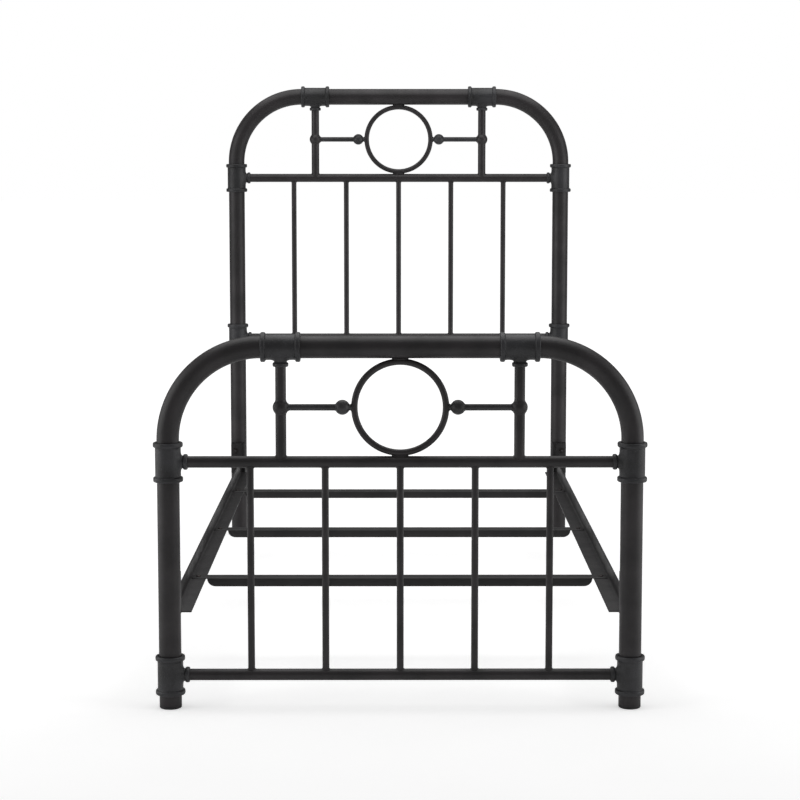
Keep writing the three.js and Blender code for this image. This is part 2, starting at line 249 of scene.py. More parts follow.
def skin(loops, closed=False):
    """A skin over a row of equal loops of points. The row's ends are capped, or joined if it is closed."""
    bm = bmesh.new()
    rows = [[bm.verts.new(point) for point in loop] for loop in loops]
    pairs = list(zip(rows, rows[1:]))
    if closed:
        pairs.append((rows[-1], rows[0]))
    else:
        bm.faces.new(rows[0])
        bm.faces.new(rows[-1])
    for low, high in pairs:
        for i in range(len(low)):
            bm.faces.new((low[i - 1], low[i], high[i], high[i - 1]))
    return outward(bm)


def outward(bm):
    """The mesh of a closed shell, with its faces turned outwards."""
    bmesh.ops.recalc_face_normals(bm, faces=bm.faces)
    mesh = bpy.data.meshes.new("shell")
    bm.to_mesh(mesh)
    bm.free()
    return mesh


def joined(meshes):
    bm = bmesh.new()
    for mesh in meshes:
        bm.from_mesh(mesh)
    result = bpy.data.meshes.new("joined")
    bm.to_mesh(result)
    bm.free()
    return result


def moved(mesh, matrix):
    copy = mesh.copy()
    copy.transform(matrix)
    return copy


def rounded(corners, closed=False, steps=4):
    """An outline through corners given as (x, y, fillet radius)."""
    points = []
    for i, (x, y, radius) in enumerate(corners):
        corner = Vector((x, y))
        if radius == 0 or not closed and i in (0, len(corners) - 1):
            points.append(corner)
            continue
        before = (Vector(corners[i - 1][:2]) - corner).normalized()
        after = (Vector(corners[(i + 1) % len(corners)][:2]) - corner).normalized()
        half = before.angle(after) / 2
        centre = corner + (before + after).normalized() * (radius / sin(half))
        first = corner + before * (radius / tan(half)) - centre
        last = corner + after * (radius / tan(half)) - centre
        for k in range(steps + 1):
            points.append(centre + first.lerp(last, k / steps).normalized() * radius)
    return points


def turned(profile, segments=48):
    """A profile of (radius, height) points turned about Z. Its ends are flat discs."""
    turns = [2 * pi * k / segments for k in range(segments)]
    return skin([[(r * cos(a), r * sin(a), h) for a in turns] for r, h in profile])


def hexagonal(radius, turn):
    """The distance from the axis to a hexagon's side, at a turn. Its flats are at the radius given."""
    return radius / cos((turn % (pi / 3)) - pi / 6)


def softened(mesh, width):
    """A mesh with its sharp edges broken."""
    bm = bmesh.new()
    bm.from_mesh(mesh)
    sharp = [e for e in bm.edges if e.is_manifold and e.calc_face_angle() > BROKEN_EDGE]
    shape = {"segments": 2, "profile": 0.5, "affect": "EDGES", "clamp_overlap": True}
    bmesh.ops.bevel(bm, geom=sharp, offset=width, **shape)
    return outward(bm)


def link(name, mesh):
    obj = bpy.data.objects.new(name, mesh)
    bpy.context.scene.collection.objects.link(obj)
    return obj


def evaluated(obj):
    """The mesh that an object's modifiers give. The object is used up."""
    bpy.context.view_layer.update()
    graph = bpy.context.evaluated_depsgraph_get()
    mesh = bpy.data.meshes.new_from_object(obj.evaluated_get(graph), depsgraph=graph)
    bpy.data.objects.remove(obj)
    return mesh


def finish_piece(name, mesh, material, slot, *nodes):
    """Makes a piece of the bed of a mesh, in the place of some CAD nodes."""
    mesh.shade_smooth()
    mesh.set_sharp_from_angle(angle=SHARP_EDGE)
    mesh.materials.clear()
    mesh.materials.append(material)
    obj = link(name, mesh)
    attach(obj, "root")
    if nodes:
        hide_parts(*nodes)
    return obj


# ---- Geometry Nodes ----
def new_tree(name, inputs):
    tree = bpy.data.node_groups.new(name, "GeometryNodeTree")
    tree.interface.new_socket("Geometry", in_out="INPUT", socket_type="NodeSocketGeometry")
    tree.interface.new_socket("Geometry", in_out="OUTPUT", socket_type="NodeSocketGeometry")
    for label, kind in inputs.items():
        tree.interface.new_socket(label, in_out="INPUT", socket_type=f"NodeSocket{kind}")
    return tree, add(tree, "NodeGroupInput").outputs


def end_tree(tree, geometry, material):
    real = add(tree, "GeometryNodeRealizeInstances", {"Geometry": geometry})
    coated = add(tree, "GeometryNodeSetMaterial", {"Geometry": real.outputs[0], "Material": material})
    add(tree, "NodeGroupOutput", {"Geometry": coated.outputs[0]})
    return tree


def pipe_tree():
    """A round tube or rod along each path of a mesh of edges."""
    inputs = {"Radius": "Float", "Sides": "Int", "Material": "Material"}
    tree, given = new_tree("Pipe along a path", inputs)
    path = add(tree, "GeometryNodeMeshToCurve", {"Mesh": given["Geometry"]})
    section = {"Resolution": given["Sides"], "Radius": given["Radius"]}
    circle = add(tree, "GeometryNodeCurvePrimitiveCircle", section)
    swept = {"Curve": path.outputs[0], "Profile Curve": circle.outputs["Curve"], "Fill Caps": True}
    pipe = add(tree, "GeometryNodeCurveToMesh", swept)
    return end_tree(tree, pipe.outputs[0], given["Material"])


def weld_tree():
    """A rippled weld bead along each path of a mesh of edges."""
    inputs = {"Bead radius": "Float", "Ripple": "Float", "Depth": "Float", "Material": "Material"}
    tree, given = new_tree("Weld bead", inputs)
    # Five steps to a ripple are enough for the eye.
    step = add(tree, "ShaderNodeMath", {0: given["Ripple"], 1: 5}, operation="DIVIDE")
    path = add(tree, "GeometryNodeMeshToCurve", {"Mesh": given["Geometry"]})
    steps = {"Curve": path.outputs[0], "Length": step.outputs[0]}
    fine = add(tree, "GeometryNodeResampleCurve", steps, mode="LENGTH")
    # The bead swells with each ripple, and a little by chance along its run.
    run = add(tree, "GeometryNodeSplineParameter").outputs["Length"]
    turns = add(tree, "ShaderNodeMath", {0: run, 1: given["Ripple"]}, operation="DIVIDE")
    angle = add(tree, "ShaderNodeMath", {0: turns.outputs[0], 1: 2 * pi}, operation="MULTIPLY")
    wave = add(tree, "ShaderNodeMath", {0: angle.outputs[0]}, operation="SINE")
    even = {0: wave.outputs[0], 1: given["Depth"], 2: 0.75}
    ripple = add(tree, "ShaderNodeMath", even, operation="MULTIPLY_ADD")
    unsteady = add(tree, "ShaderNodeTexNoise", {"Scale": 1 / (6 * MM), "Detail": 1})
    uneven = {0: unsteady.outputs["Fac"], 1: 0.5, 2: ripple.outputs[0]}
    swell = add(tree, "ShaderNodeMath", uneven, operation="MULTIPLY_ADD")
    section = {"Resolution": 10, "Radius": given["Bead radius"]}
    circle = add(tree, "GeometryNodeCurvePrimitiveCircle", section)
    swept = {"Curve": fine.outputs[0], "Profile Curve": circle.outputs["Curve"], "Fill Caps": True}
    bead = add(tree, "GeometryNodeCurveToMesh", {**swept, "Scale": swell.outputs[0]})
    return end_tree(tree, bead.outputs[0], given["Material"])


def row_tree():
    """A row of equal round bars, each rising along Z from a point of the row."""
    sizes = {"Count": "Int", "First": "Vector", "Pitch": "Vector", "Rise": "Vector", "Radius": "Float"}
    tree, given = new_tree("Row of bars", {**sizes, "Material": "Material"})
    line = {"Count": given["Count"], "Start Location": given["First"], "Offset": given["Pitch"]}
    row = add(tree, "GeometryNodeMeshLine", line)
    rise = add(tree, "GeometryNodeCurvePrimitiveLine", {"End": given["Rise"]})
    section = {"Resolution": 32, "Radius": given["Radius"]}
    circle = add(tree, "GeometryNodeCurvePrimitiveCircle", section)
    swept = {"Curve": rise.outputs[0], "Profile Curve": circle.outputs["Curve"], "Fill Caps": True}
    bar = add(tree, "GeometryNodeCurveToMesh", swept)
    on_points = {"Points": row.outputs[0], "Instance": bar.outputs[0]}
    bars = add(tree, "GeometryNodeInstanceOnPoints", on_points)
    return end_tree(tree, bars.outputs[0], given["Material"])


def copies_tree():
    """One copy of a part at each point of a mesh, each at a chance turn, up to Spin, about its own Z."""
    inputs = {"Part": "Object", "Turn": "Rotation", "Spin": "Float", "Seed": "Int", "Material": "Material"}
    tree, given = new_tree("Copies on points", inputs)
    part = add(tree, "GeometryNodeObjectInfo", {"Object": given["Part"], "As Instance": True})
    # A random float has its lowest and highest values in sockets 2 and 3, and its result in socket 1.
    chance = {2: 0.0, 3: given["Spin"], "Seed": given["Seed"]}
    angle = add(tree, "FunctionNodeRandomValue", chance, data_type="FLOAT").outputs[1]
    spin = add(tree, "FunctionNodeAxisAngleToRotation", {"Axis": (0, 0, 1), "Angle": angle})
    both = {"Rotation": given["Turn"], "Rotate By": spin.outputs[0]}
    turn = add(tree, "FunctionNodeRotateRotation", both, rotation_space="LOCAL")
    on_points = {"Points": given["Geometry"], "Instance": part.outputs["Geometry"]}
    turned_copies = {**on_points, "Rotation": turn.outputs[0]}
    copies = add(tree, "GeometryNodeInstanceOnPoints", turned_copies)
    return end_tree(tree, copies.outputs[0], given["Material"])


def grown(source, tree, values):
    """The plain mesh that a tree makes from a source mesh, with its named inputs set."""
    obj = link("source", source)
    modifier = obj.modifiers.new(tree.name, "NODES")
    modifier.node_group = tree
    inputs = [item for item in tree.interface.items_tree if item.in_out == "INPUT"]
    sockets = {item.name: item.identifier for item in inputs}
    for label, value in values.items():
        modifier[sockets[label]] = value
    return evaluated(obj)


def path_mesh(paths):
    """Paths as a mesh of edges, from lists of points. A path whose last point is None is closed."""
    points, edges = [], []
    for path in paths:
        loop = path[-1] is None
        run = path[:-1] if loop else path
        start = len(points)
        points += run
        edges += [(start + i, start + i + 1) for i in range(len(run) - 1)]
        if loop:
            edges.append((len(points) - 1, start))
    mesh = bpy.data.meshes.new("paths")
    mesh.from_pydata(points, edges, [])
    return mesh


PIPE = pipe_tree()
WELD = weld_tree()
ROW = row_tree()
COPIES = copies_tree()


def copied(part_mesh, points, material, turn=(0, 0, 0), spin=0.0, seed=0):
    part = link("part", part_mesh)
    values = {"Part": part, "Turn": turn, "Spin": spin, "Seed": seed, "Material": material}
    mesh = grown(path_mesh([points]), COPIES, values)
    bpy.data.objects.remove(part)
    return mesh


def pipe(name, path, radius, material, slot, node, sides=48):
    values = {"Radius": radius, "Sides": sides, "Material": material}
    return finish_piece(name, grown(path_mesh([path]), PIPE, values), material, slot, node)


# ---- Tubes and rods ----
def bend_path(end, side):
    """Up the post's axis, round a quarter turn and along the top rail's axis."""
    low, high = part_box(f"{end}_bend_{side}")
    sign = SIDES[side]
    tube = (high.y - low.y) / 2
    # The straight ends are as long as an eighth of the arc.
    radius = (high.x - low.x - tube) / (1 + pi / 16)
    post_x = middle(f"{end}_post_{side}").x
    rail_z = high.z - tube
    y = (low.y + high.y) / 2
    points = [Vector((post_x, y, low.z))]
    for k in range(BEND_STEPS + 1):
        angle = pi / 2 * k / BEND_STEPS
        across, down = radius * (1 - cos(angle)), radius * (1 - sin(angle))
        points.append(Vector((post_x - sign * across, y, rail_z - down)))
    points.append(Vector((post_x - sign * (high.x - low.x - tube), y, rail_z)))
    return points


def straight_path(node, axis):
    low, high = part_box(node)
    start, stop = (low + high) / 2, (low + high) / 2
    start[axis], stop[axis] = low[axis], high[axis]
    return [start, stop]


def make_tubes(end):
    post_radius = extent(f"{end}_post_left").x / 2
    for side in SIDES:
        post, bend = f"{end}_post_{side}", f"{end}_bend_{side}"
        pipe(f"{post}_tube", straight_path(post, 2), post_radius, TUBE_COAT, "black_tube", post)
        pipe(f"{bend}_tube", bend_path(end, side), post_radius, TUBE_COAT, "black_tube", bend)
    rail = f"{end}_top_rail"
    pipe(f"{rail}_tube", straight_path(rail, 0), post_radius, TUBE_COAT, "black_tube", rail)
    for bar in (f"{end}_upper_crossbar", f"{end}_lower_crossbar"):
        path, radius = straight_path(bar, 0), extent(bar).z / 2
        pipe(f"{bar}_tube", path, radius, TUBE_COAT, "black_rod", bar, sides=36)
    ring = f"{end}_ring"
    centre, rod = middle(ring), extent(ring).y / 2
    axis_radius = extent(ring).x / 2 - rod
    turns = [2 * pi * k / RING_STEPS for k in range(RING_STEPS)]
    circle = [centre + axis_radius * Vector((cos(turn), 0, sin(turn))) for turn in turns]
    pipe(f"{ring}_rod", circle + [None], rod, TUBE_COAT, "black_rod", ring, sides=24)


def make_spindles(end):
    """The five thin tubes between the crossbars."""
    nodes = [f"{end}_baluster_{i + 1}" for i in range(SPINDLES)]
    low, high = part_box(nodes[0])
    first = middle(nodes[0])
    values = {
        "Count": SPINDLES,
        "First": (first.x, first.y, low.z),
        "Pitch": middle(nodes[1]) - first,
        "Rise": (0, 0, high.z - low.z),
        "Radius": (high.x - low.x) / 2,
        "Material": TUBE_COAT,
    }
    mesh = grown(bpy.data.meshes.new("row"), ROW, values)
    finish_piece(f"{end}_spindles", mesh, TUBE_COAT, "black_rod", *nodes)


def ball_on_rod(rods, ball, centre):
    """The profile of a rod with a cast ball, with a small fillet where they meet.

    rods gives the height of the rod's end and its radius, first below the ball's centre and then above.
    """
    (start, below), (stop, above) = rods
    reach, rows = 1.35 * ball, 44  # the fillets have run out at the reach
    profile = [(below, start)]
    for k in range(rows + 1):
        rise = reach * (2 * k / rows - 1)
        rod = below if rise < 0 else above
        half_chord = sqrt(max(ball * ball - rise * rise, 0))
        if start < centre + rise < stop:
            profile.append(((rod + half_chord + hypot(rod - half_chord, BALL_FILLET)) / 2, centre + rise))
    profile.append((above, stop))
    return profile


def make_uprights(end):
    height = middle(f"{end}_tie_rod_left").z
    for side in SIDES:
        node = f"{end}_upright_{side}"
        low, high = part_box(node)
        rods = [(low.z, UPRIGHT_RADIUS), (high.z, UPRIGHT_RADIUS)]
        mesh = turned(ball_on_rod(rods, extent(node).x / 2, height))
        mesh.transform(Matrix.Translation((middle(node).x, middle(node).y, 0)))
        finish_piece(f"{node}_bar", mesh, TUBE_COAT, "black_rod", node)


def make_tie_rods(end):
    for side, sign in SIDES.items():
        node = f"{end}_tie_rod_{side}"
        ball = extent(node).z / 2
        outer = abs(middle(f"{end}_upright_{side}").x) - UPRIGHT_RADIUS
        inner = extent(f"{end}_ring").x / 2 - 3 * MM  # just inside the ring's own rod
        rods = [(-outer, TIE_ROD_RADIUS), (-inner, TIE_NECK_RADIUS)]
        mesh = turned(ball_on_rod(rods, ball, -TIE_BALL_X), segments=40)
        mesh.transform(ALONG_X)
        if sign > 0:
            mesh.transform(Matrix.Rotation(pi, 4, "Z"))
        mesh.transform(Matrix.Translation((0, middle(node).y, middle(node).z)))
        finish_piece(f"{node}_bar", mesh, CASTING_COAT, "black_casting", node)


# ---- Cast tees ----
def tee_mesh():
    """A tee cast in one: a barrel along Z with a bead at each end, and a flared, collared outlet to +X.

    A cage of 24 sides is subdivided to a smooth casting, so each step is rounded as sand-cast iron is.
    """
    sides, patch = 24, 6  # the outlet grows from a patch of 6 by 6 faces
    swell = 1 / (2 / 3 + cos(2 * pi / sides) / 3)  # a subdivided ring shrinks by this
    half, bead = extent("foot_upper_tee_left").z / 2, extent("foot_upper_tee_left").y / 2
    body, bore = TEE_BODY_RADIUS, TEE_BORE_RADIUS
    shoulder = half - TEE_BEAD_WIDTH

    rim = [
        (body, shoulder - 3.2 * MM),
        (body + 0.1 * MM, shoulder - 0.8 * MM),
        (body + 1 * MM, shoulder + 0.1 * MM),
        (bead - 1 * MM, shoulder + 0.9 * MM),
        (bead, shoulder + 2.6 * MM),
        (bead, half - 2.4 * MM),
        (bead - 1 * MM, half - 0.6 * MM),
        (bead - 2.8 * MM, half),
        (bore + 2.6 * MM, half),
        (bore + 0.6 * MM, half - 1.4 * MM),
        (bore, half - 3 * MM),
        (bore, half - 7 * MM),
    ]
    patch_half = 19.5 * MM
    rows = [(r, -h) for r, h in reversed(rim)]
    first = len(rows)
    rows += [(body, patch_half * (2 * k / patch - 1)) for k in range(patch + 1)]
    rows += rim

    bm = bmesh.new()
    grid = {}

    def barrel(row, column):
        key = (row % len(rows), column % sides)
        if key not in grid:
            r, h = rows[key[0]]
            turn = 2 * pi * key[1] / sides
            grid[key] = bm.verts.new((r * swell * cos(turn), r * swell * sin(turn), h))
        return grid[key]

    for row in range(len(rows)):
        for column in range(sides):
            in_patch = first <= row < first + patch and (column + patch // 2) % sides < patch
            if not in_patch:
                corners = [(row, column), (row, column + 1), (row + 1, column + 1), (row + 1, column)]
                bm.faces.new([barrel(*corner) for corner in corners])

    # Round the patch's edge, from its lower corner on the +Y side.
    edge = [(first + k, patch // 2) for k in range(patch)]
    edge += [(first + patch, patch // 2 - k) for k in range(patch)]
    edge += [(first + patch - k, -patch // 2) for k in range(patch)]
    edge += [(first, k - patch // 2) for k in range(patch)]
    loop = [barrel(*key) for key in edge]

    neck, band, socket, mouth = TEE_NECK_RADIUS, TEE_COLLAR_RADIUS, TEE_SOCKET_RADIUS, TEE_MOUTH
    outlet = [
        (neck + 4 * MM, None),  # on the barrel
        (neck + 1.3 * MM, mouth - 13.2 * MM),
        (neck, mouth - 11 * MM),
        (neck, mouth - 9.7 * MM),
        (band - 1.1 * MM, mouth - 9 * MM),
        (band, mouth - 7.4 * MM),
        (band, mouth - 2.2 * MM),
        (band - 1.1 * MM, mouth - 0.6 * MM),
        (band - 2.6 * MM, mouth),
        (socket + 0.6 * MM, mouth - 0.9 * MM),
        (socket, mouth - 2.4 * MM),
        (socket, mouth - 6 * MM),
    ]
    for radius, reach in outlet:
        ring = []
        for k in range(4 * patch):
            turn = radians(-45) + 2 * pi * k / (4 * patch)
            y, z = radius * swell * cos(turn), radius * swell * sin(turn)
            x = sqrt((body * swell) ** 2 - y * y) + 0.6 * MM if reach is None else reach
            ring.append(bm.verts.new((x, y, z)))
        for k in range(4 * patch):
            bm.faces.new((loop[k - 1], loop[k], ring[k], ring[k - 1]))
        loop = ring
    bm.faces.new(loop)

    obj = link("tee", outward(bm))
    rounding = obj.modifiers.new("rounding", "SUBSURF")
    rounding.levels = rounding.render_levels = 2
    return evaluated(obj)


def make_tees(end):
    bead = extent(f"{end}_upper_tee_left").y / 2
    for side, sign in SIDES.items():
        for place in ("lower", "upper"):
            node = f"{end}_{place}_tee_{side}"
            low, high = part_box(node)
            axis_x = low.x + bead if sign < 0 else high.x - bead
            at = Matrix.Translation((axis_x, (low.y + high.y) / 2, (low.z + high.z) / 2))
            turn = Matrix.Rotation(pi if sign > 0 else 0, 4, "Z")
            finish_piece(f"{node}_casting", moved(TEE, at @ turn), CASTING_COAT, "black_casting", node)
        node = f"{end}_top_tee_{side}"
        low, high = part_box(node)
        at = Matrix.Translation(((low.x + high.x) / 2, (low.y + high.y) / 2, high.z - bead))
        finish_piece(f"{node}_casting", moved(TEE, at @ ALONG_X), CASTING_COAT, "black_casting", node)


def make_glides(end):
    """The moulded feet: a rounded rim under the post and the start of the plug inside it."""
    for side in SIDES:
        node = f"{end}_glide_{side}"
        radius = extent(node).x / 2
        outline = rounded(
            [
                (radius / 2, 0, 0),
                (radius, 0, 2.4 * MM),
                (radius, GLIDE_RIM, 0.5 * MM),
                (GLIDE_PLUG_RADIUS, GLIDE_RIM, 0),
                (GLIDE_PLUG_RADIUS, GLIDE_PLUG_TOP, 0),
            ]
        )
        at = middle(node)
        mesh = turned([(r, h) for r, h in outline])
        mesh.transform(Matrix.Translation((at.x, at.y, 0)))
        finish_piece(f"{node}_foot", mesh, GLIDE_PLASTIC, "black_plastic", node)


# ---- Welds ----
def saddle(at, rod, bar, up):
    """The line round an upright rod that stands on a bar along X (up = 1) or hangs from it (up = -1)."""
    points = []
    for k in range(40):
        turn = 2 * pi * k / 40
        y = rod * sin(turn)
        points.append(at + Vector((rod * cos(turn), y, up * sqrt(bar * bar - y * y))))
    return points + [None]


def collar(at, rod, bar, away):
    """The line round a rod along X where it meets an upright bar. away is 1 or -1, the rod's side of it."""
    points = []
    for k in range(32):
        turn = 2 * pi * k / 32
        y, z = rod * cos(turn), rod * sin(turn)
        points.append(at + Vector((away * (sqrt(bar * bar - y * y) - bar), y, z)))
    return points + [None]


def touch(at, ring, rod, bar, up):
    """The oval round the place where a ring, of a rod bent to a radius, touches a bar along X."""
    points = []
    for k in range(48):
        turn = 2 * pi * k / 48
        x, y = RING_WELD[0] * cos(turn), RING_WELD[1] * sin(turn)
        off_ring = ring - sqrt(ring * ring - x * x) + rod - sqrt(rod * rod - y * y)
        off_bar = bar - sqrt(bar * bar - y * y)
        points.append(at + Vector((x, y, up * (off_bar - off_ring) / 2)))
    return points + [None]


def beads(paths, radius):
    ripples = {"Ripple": WELD_RIPPLE, "Depth": WELD_DEPTH}
    values = {"Bead radius": radius, **ripples, "Material": TUBE_COAT}
    return grown(path_mesh(paths), WELD, values)


def make_welds(end):
    upper, lower = middle(f"{end}_upper_crossbar"), middle(f"{end}_lower_crossbar")
    bar = extent(f"{end}_upper_crossbar").z / 2
    small = []
    for i in range(SPINDLES):
        node = f"{end}_baluster_{i + 1}"
        rod, x = extent(node).x / 2, middle(node).x
        small.append(saddle(Vector((x, lower.y, lower.z)), rod, bar, 1))
        small.append(saddle(Vector((x, upper.y, upper.z)), rod, bar, -1))
    ring_low, ring_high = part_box(f"{end}_ring")
    ring, ring_rod = (ring_high.x - ring_low.x) / 2, (ring_high.y - ring_low.y) / 2
    for side, sign in SIDES.items():
        upright = middle(f"{end}_upright_{side}").x
        ball = extent(f"{end}_upright_{side}").x / 2
        height = middle(f"{end}_tie_rod_{side}").z
        small.append(saddle(Vector((upright, upper.y, upper.z)), UPRIGHT_RADIUS, bar, 1))
        on_ball = Vector((upright - sign * sqrt(ball**2 - TIE_ROD_RADIUS**2), upper.y, height))
        small.append(collar(on_ball, TIE_ROD_RADIUS, ball, -sign))
        small.append(collar(Vector((sign * ring, upper.y, height)), TIE_NECK_RADIUS, ring_rod, sign))
    top = extent(f"{end}_top_rail").z / 2
    large = [
        touch(Vector((0, upper.y, ring_high.z)), ring, ring_rod, top, 1),
        touch(Vector((0, upper.y, ring_low.z)), ring, ring_rod, bar, -1),
    ]
    mesh = joined([beads(small, WELD_SMALL), beads(large, WELD_LARGE)])
    finish_piece(f"{end}_welds", mesh, TUBE_COAT, "black_rod")


def make_bracket_welds():
    """Upright beads that hold the brackets to the posts and the end plates to the rails."""
    paths = []
    inset, proud = 5 * MM, 0.5 * MM  # how far the beads start from an edge, and stand off the steel
    for end, facing in ENDS.items():
        for side, sign in SIDES.items():
            post = middle(f"{end}_post_{side}")
            low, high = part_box(f"{end}_rail_bracket_{side}")
            y = post.y + facing * BRACKET_TIP
            for x in (low.x, high.x):
                paths.append([Vector((x, y, low.z + inset)), Vector((x, y, high.z - inset))])
            low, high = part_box(f"side_rail_{side}")
            y = (low.y if facing > 0 else high.y) + facing * (END_PLATE_THICKNESS + proud)
            for x in (RAIL_OUTER_X + proud, RAIL_OUTER_X - RAIL_THICKNESS - proud):
                foot = Vector((sign * x, y, low.z + inset))
                paths.append([foot, foot + Vector((0, 0, RAIL_LEG - 1.5 * inset))])
    finish_piece("bracket_welds", beads(paths, WELD_SMALL), SECTION_COAT, "black_steel")


# ---- Side rails, brackets and slats ----
def prism(outline, start, stop):
    """A bar of constant section along Z, its end edges broken."""
    ends = [[(x, y, height) for x, y in outline] for height in (start, stop)]
    return softened(skin(ends), 0.4 * MM)


def make_side_rail(side):
    """A hot-rolled angle, with its rounded toes and inner fillet, and a plate welded across each end."""
    node, sign = f"side_rail_{side}", SIDES[side]
    low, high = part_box(node)
    bottom, outer, leg, thick = low.z, sign * RAIL_OUTER_X, RAIL_LEG, RAIL_THICKNESS
    inner = outer - sign * leg
    outline = rounded(
        [
            (inner, bottom, 0.6 * MM),
            (outer, bottom, 0.8 * MM),
            (outer, bottom + leg, 0.6 * MM),
            (outer - sign * thick, bottom + leg, 1.8 * MM),
            (outer - sign * thick, bottom + thick, 4 * MM),
            (inner, bottom + thick, 1.8 * MM),
        ],
        closed=True,
    )
    # The section is drawn in X and Z, so the prism's own Z is turned to run along -Y.
    lay = Matrix.Rotation(radians(90), 4, "X")
    inset = 1 * MM  # the angle's ends are inside the plates
    parts = [moved(prism(outline, low.y + inset, high.y - inset), lay)]
    plate_inner, plate_outer = sign * END_PLATE_INNER_X, sign * max(abs(low.x), abs(high.x))
    plate = rounded(
        [
            (plate_inner, bottom, 3 * MM),
            (plate_outer, bottom, 5 * MM),
            (plate_outer, high.z, 5 * MM),
            (plate_inner, high.z, 3 * MM),
        ],
        closed=True,
    )
    for start, stop in ((low.y, low.y + END_PLATE_THICKNESS), (high.y - END_PLATE_THICKNESS, high.y)):
        parts.append(moved(prism(plate, start, stop), lay))
    finish_piece(f"{node}_angle", joined(parts), SECTION_COAT, "black_steel", node)


def threaded_stud(length):
    """A stud along Z with a real helical thread and a chamfered end."""
    pitch, radius, around, rows_per_turn = STUD["pitch"], STUD["radius"], 24, 8
    chamfer, chamfer_depth = 1.2 * MM, 0.8 * MM
    rows = int(length / pitch * rows_per_turn)
    loops = []
    for row in range(rows + 1):
        height = length * row / rows
        cut = chamfer_depth * max(0, 1 - (length - height) / chamfer)
        loop = []
        for k in range(around):
            phase = (height / pitch - k / around) % 1
            r = radius - THREAD_DEPTH * abs(2 * phase - 1) - cut
            loop.append((r * cos(2 * pi * k / around), r * sin(2 * pi * k / around), height))
        loops.append(loop)
    return skin(loops)


def make_brackets(end):
    """Folded steel brackets welded round the back of the posts, with their threaded studs."""
    facing = ENDS[end]
    for side, sign in SIDES.items():
        node = f"{end}_rail_bracket_{side}"
        post = middle(f"{end}_post_{side}")
        low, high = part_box(node)
        half, thick = extent(node).x / 2, BRACKET_THICKNESS
        tip, face = facing * BRACKET_TIP, facing * BRACKET_FACE
        inside, fold = face - facing * thick, 1.5 * MM
        outline = rounded(
            [
                (-half, tip, 0),
                (-half, face, fold + thick),
                (half, face, fold + thick),
                (half, tip, 0),
                (half - thick, tip, 0),
                (half - thick, inside, fold),
                (thick - half, inside, fold),
                (thick - half, tip, 0),
            ],
            closed=True,
        )
        parts = [moved(prism(outline, low.z, high.z), Matrix.Translation((post.x, post.y, 0)))]
        stands = extent(node).y - (BRACKET_FACE - BRACKET_BACK)  # how far a stud stands off the face
        root = 1 * MM  # how far it starts inside the face
        turn = ALONG_Y if facing > 0 else Matrix.Rotation(radians(90), 4, "X")
        for height in STUD["heights"]:
            at = Matrix.Translation((sign * STUD["x"], post.y + face - facing * root, height))
            parts.append(moved(threaded_stud(stands + root), at @ turn))
        finish_piece(f"{node}_fold", joined(parts), SECTION_COAT, "black_steel", node)


def make_slats():
    """Channels folded from sheet, open underneath, whose webs run on past the folded edges as flat tabs."""
    low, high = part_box("slat_2")
    half_width, thick = (high.y - low.y) / 2, SLAT_THICKNESS
    fold, toe, corner = 3 * MM, 0.8 * MM, 0.6 * MM
    outline = rounded(
        [
            (-half_width, low.z, toe),
            (-half_width, high.z, fold),
            (half_width, high.z, fold),
            (half_width, low.z, toe),
            (half_width - thick, low.z, toe),
            (half_width - thick, high.z - thick, fold - thick),
            (thick - half_width, high.z - thick, fold - thick),
            (thick - half_width, low.z, toe),
        ],
        closed=True,
    )
    depth, steps = high.z - low.z, 8
    stations = []  # distances from the slat's middle, and its depth there
    for k in range(steps + 1):  # the folded edges run out along a quarter circle
        turn = pi / 2 * k / steps
        stations.append((SLAT_LEG_HALF - depth * (1 - sin(turn)), thick + (depth - thick) * cos(turn)))
    stations.append((high.x - corner, thick))
    stations.append((high.x, thick))
    run = [(-x, d) for x, d in reversed(stations)] + stations
    loops = []
    for x, d in run:
        cut = corner if abs(x) == high.x else 0  # the tabs' corners are cut off
        loops.append([(x, y - cut * (1 if y > 0 else -1), max(z, high.z - d)) for y, z in outline])
    nodes = ["slat_1", "slat_2", "slat_3"]
    points = [Vector((0, middle(node).y, 0)) for node in nodes]
    mesh = copied(skin(loops), points, SECTION_COAT)
    finish_piece("cross_slats", mesh, SECTION_COAT, "black_steel", *nodes)


# ---- Fasteners ----
def fastener_loops(rings, around=48):
    """Loops about Z, round or hexagonal, from rings of (radius, height, is_hexagon, chamfer slope)."""
    loops = []
    for radius, height, is_hexagon, slope in rings:
        loop = []
        for k in range(around):
            turn = 2 * pi * k / around
            r = hexagonal(radius, turn) if is_hexagon else radius
            loop.append((r * cos(turn), r * sin(turn), height + slope * (r - radius)))
        loops.append(loop)
    return loops


def nut_and_washer():
    """An M8 nut on a plain washer, standing on Z = 0."""
    hole, rim, thick, edge = 4.3 * MM, 8 * MM, 1.6 * MM, 0.2 * MM
    washer = [
        (hole, 0),
        (rim - edge, 0),
        (rim, edge),
        (rim, thick - edge),
        (rim - edge, thick),
        (hole, thick),
    ]
    flat, bore, base, top = 6.5 * MM, 4.05 * MM, thick, thick + 6.5 * MM
    bevel, lip, chamfer = 0.3 * MM, 0.15 * MM, tan(radians(30))
    nut = [
        (bore, base, False, 0),
        (flat - bevel, base, False, 0),
        (flat, base + lip, True, chamfer),
        (flat, top - lip, True, -chamfer),
        (flat - bevel, top, False, 0),
        (bore + 0.35 * MM, top, False, 0),
        (bore, top - 0.35 * MM, False, 0),
    ]
    turns = [2 * pi * k / 48 for k in range(48)]
    washer_loops = [[(r * cos(a), r * sin(a), h) for a in turns] for r, h in washer]
    return joined([skin(washer_loops, closed=True), skin(fastener_loops(nut), closed=True)])


